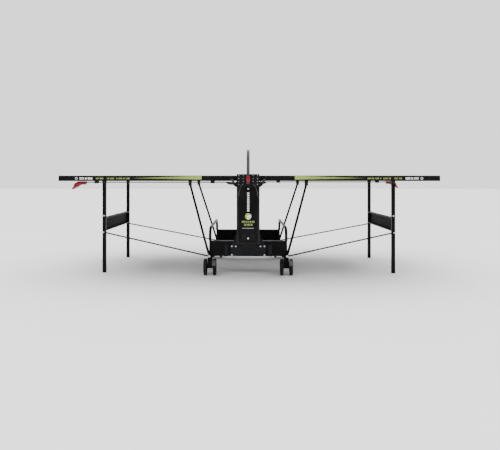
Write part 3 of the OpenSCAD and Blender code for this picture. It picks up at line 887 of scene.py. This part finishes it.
def marks_on_rail(side, sx, row, sy):
    """A lime stripe that tapers away from the net, and generic bars and a ring near the end."""
    top = [(335, 757.2), (380, 756.6), (450, 754.2), (550, 751.2), (650, 748.2), (750, 744.6), (838, 740.6)]
    bottom = [(838, 739.8), (750, 737.0), (650, 735.4), (550, 734.0), (450, 732.4), (380, 731.2),
              (335, 730.8)]
    stripe = Shape()
    stripe.prism([(sx * x, z) for x, z in top + bottom], "Y", sy * RAIL_FACE, sy * (RAIL_FACE + 0.62))
    stripe.piece(f"{side}_{row}_rail_stripe", STRIPE, f"{side}_top", "board_green")

    def bar(shape, x0, x1, z0, z1):
        shape.box((sx * x0, sy * RAIL_FACE, z0), (sx * x1, sy * (RAIL_FACE + 0.6), z1), 0.2, 1)

    olive = Shape()
    for x0, x1 in ((853, 879), (885, 902), (908, 936), (942, 952), (966, 998), (1004, 1020), (1044, 1072),
                   (1078, 1100)):
        bar(olive, x0, x1, 732.5, 744.5)
    olive.piece(f"{side}_{row}_rail_bars", OLIVE_INK, f"{side}_top", "brake_plastic")

    white = Shape()
    for x0, x1, z0, z1 in ((1124, 1158, 731, 746), (1164, 1176, 731, 746), (1182, 1218, 738, 746),
                           (1182, 1218, 731, 734.5)):
        bar(white, x0, x1, z0, z1)
    ring = [(9.0, 0), (9.0, 0.6), (5.2, 0.6), (5.2, 0)]
    white.lathe(ring, (sx * 1240, sy * RAIL_FACE, 739), (0, sy, 0), 32, closed=True)
    white.piece(f"{side}_{row}_rail_white_marks", WHITE_INK, f"{side}_top", "zinc_steel")


for side, sx in HALVES:
    half_bolts(side, sx)
    leg_details(side, sx)
    handle_grip(side, sx)
    for row, sy in ROWS:
        marks_on_rail(side, sx, row, sy)

# ---------------------------------------------------------------- net

CORD, PITCH = 2.6, 12.5
NET_HALF = 903.0
NET_LOW, NET_HIGH = 761.0, 913.0
CORNER_R = 55.0  # of the cloth's upper corners, inside the posts' arches
TAPE_HEIGHT = 14.0
SLEEVE = 10
BAND_STEPS = 72


def solid_sheet(name, quads, thickness, material, body):
    """A flat mesh in the YZ plane, given as quads in millimetres, made solid."""
    bm = bmesh.new()
    known = {}

    def corner(y, z):
        key = (round(y, 3), round(z, 3))
        if key not in known:
            known[key] = bm.verts.new((0, key[0] * MM, key[1] * MM))
        return known[key]

    for quad in quads:
        bm.faces.new([corner(y, z) for y, z in quad])
    mesh = bpy.data.meshes.new(name)
    bm.to_mesh(mesh)
    bm.free()
    mesh.materials.append(material)
    obj = bpy.data.objects.new(name, mesh)
    bpy.context.collection.objects.link(obj)
    thick = obj.modifiers.new("thickness", "SOLIDIFY")
    thick.thickness = thickness * MM
    thick.offset = 0.0
    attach(obj, body)
    return obj


def reach(z):
    """Half length of the cloth at a height, inside the posts' arches."""
    if z <= ARCH_Z:
        return NET_HALF
    return ARCH_Y + math.sqrt(max(CORNER_R ** 2 - (z - ARCH_Z) ** 2, 0.0))


def cord_quads():
    """The cords as quads of one grid, without the holes between them."""
    ys, zs = [], []
    for i in range(-71, 72):
        ys += [i * PITCH - CORD / 2, i * PITCH + CORD / 2]
    for i in range(12):
        middle = NET_LOW + 3.0 + i * PITCH
        zs += [middle - CORD / 2, middle + CORD / 2]
    quads = []
    for i in range(len(ys) - 1):
        for j in range(len(zs) - 1):
            y0, y1, z0, z1 = ys[i], ys[i + 1], zs[j], zs[j + 1]
            hole = i % 2 and j % 2
            if not hole and max(abs(y0), abs(y1)) <= reach(z1) - 4.0:
                quads.append(((y0, z0), (y1, z0), (y1, z1), (y0, z1)))
    return quads


def sleeve_quads(s):
    """The sleeve up one end of the net and round its upper corner."""
    outer = [(s * NET_HALF, NET_LOW), (s * NET_HALF, ARCH_Z)]
    inner = [(s * (NET_HALF - SLEEVE), NET_LOW), (s * (NET_HALF - SLEEVE), ARCH_Z)]
    inner_r = CORNER_R - SLEEVE
    below_tape = NET_HIGH - TAPE_HEIGHT - ARCH_Z
    for k in range(1, 7):
        t = math.asin((NET_HIGH - ARCH_Z) / CORNER_R) * k / 6
        outer.append((s * (ARCH_Y + CORNER_R * math.cos(t)), ARCH_Z + CORNER_R * math.sin(t)))
        inner.append((s * (ARCH_Y + inner_r * math.cos(t)), ARCH_Z + min(inner_r * math.sin(t), below_tape)))
    return [(outer[k], outer[k + 1], inner[k + 1], inner[k]) for k in range(len(outer) - 1)]


def band_quads(half, low, high):
    """A straight band along the net, in BAND_STEPS quads."""
    edges = [-half + 2 * half * k / BAND_STEPS for k in range(BAND_STEPS + 1)]
    return [((y0, low), (y1, low), (y1, high), (y0, high)) for y0, y1 in zip(edges, edges[1:])]


def make_net():
    quads = cord_quads()
    net = solid_sheet("net_cords", quads, 1.0, NET, "chassis")
    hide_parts("net")
    sleeves = sleeve_quads(-1) + sleeve_quads(1)
    side_tape = solid_sheet("net_side_sleeves", sleeves, 2.6, TAPE_BLACK, "chassis")
    band = band_quads(reach(NET_HIGH), NET_HIGH - TAPE_HEIGHT, NET_HIGH)
    top_tape = solid_sheet("net_top_tape", band, 2.8, TAPE, "chassis")
    foot = band_quads(NET_HALF - SLEEVE, NET_LOW, NET_LOW + 4)
    foot_tape = solid_sheet("net_foot_cord", foot, 2.4, TAPE_BLACK, "chassis")


make_net()
